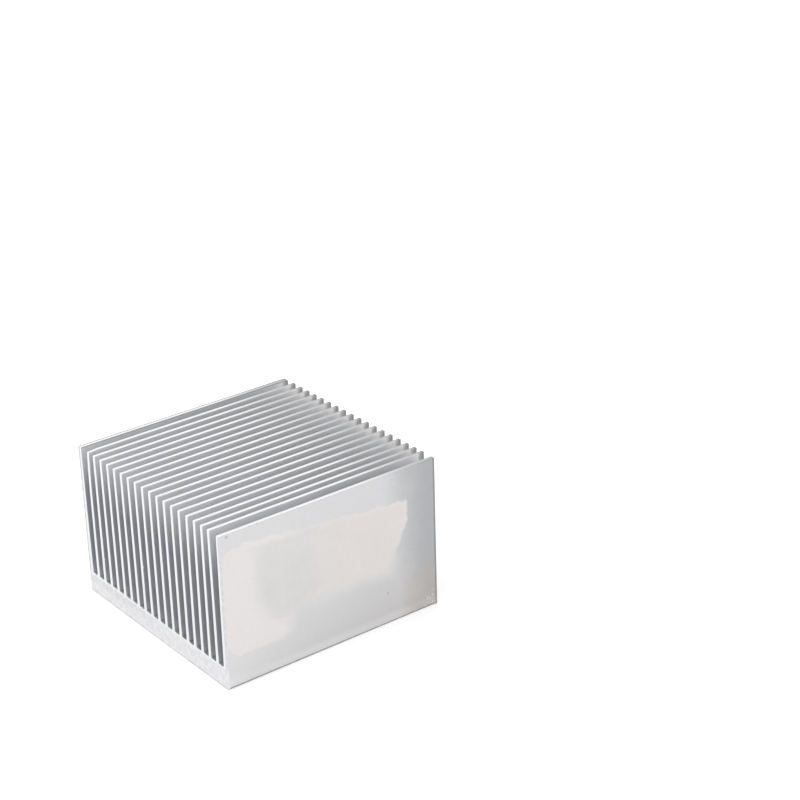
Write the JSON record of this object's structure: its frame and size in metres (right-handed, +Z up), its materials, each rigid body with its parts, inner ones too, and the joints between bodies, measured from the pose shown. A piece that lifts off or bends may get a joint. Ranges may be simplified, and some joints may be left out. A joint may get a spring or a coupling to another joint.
{
  "type": "extruded heat sink",
  "caption": "Extruded aluminium heat sink: a flat base plate that carries a comb of thin parallel fins, sawn to length, to draw heat from a component into the air.",
  "frame": {"origin": "centre of the base plate's underside, the face that meets the hot component", "axes": "+Z up through the base towards the fin tips, X across the fins, Y along the extrusion, so the sawn ends face -Y and +Y"},
  "size_m": [0.06, 0.06, 0.039],
  "materials": {
    "mill_aluminium": "bare mill-finish extrusion with sawn ends"
  },
  "bodies": {
    "root": {"heat_sink": "mill_aluminium"}
  },
  "joints": []
}
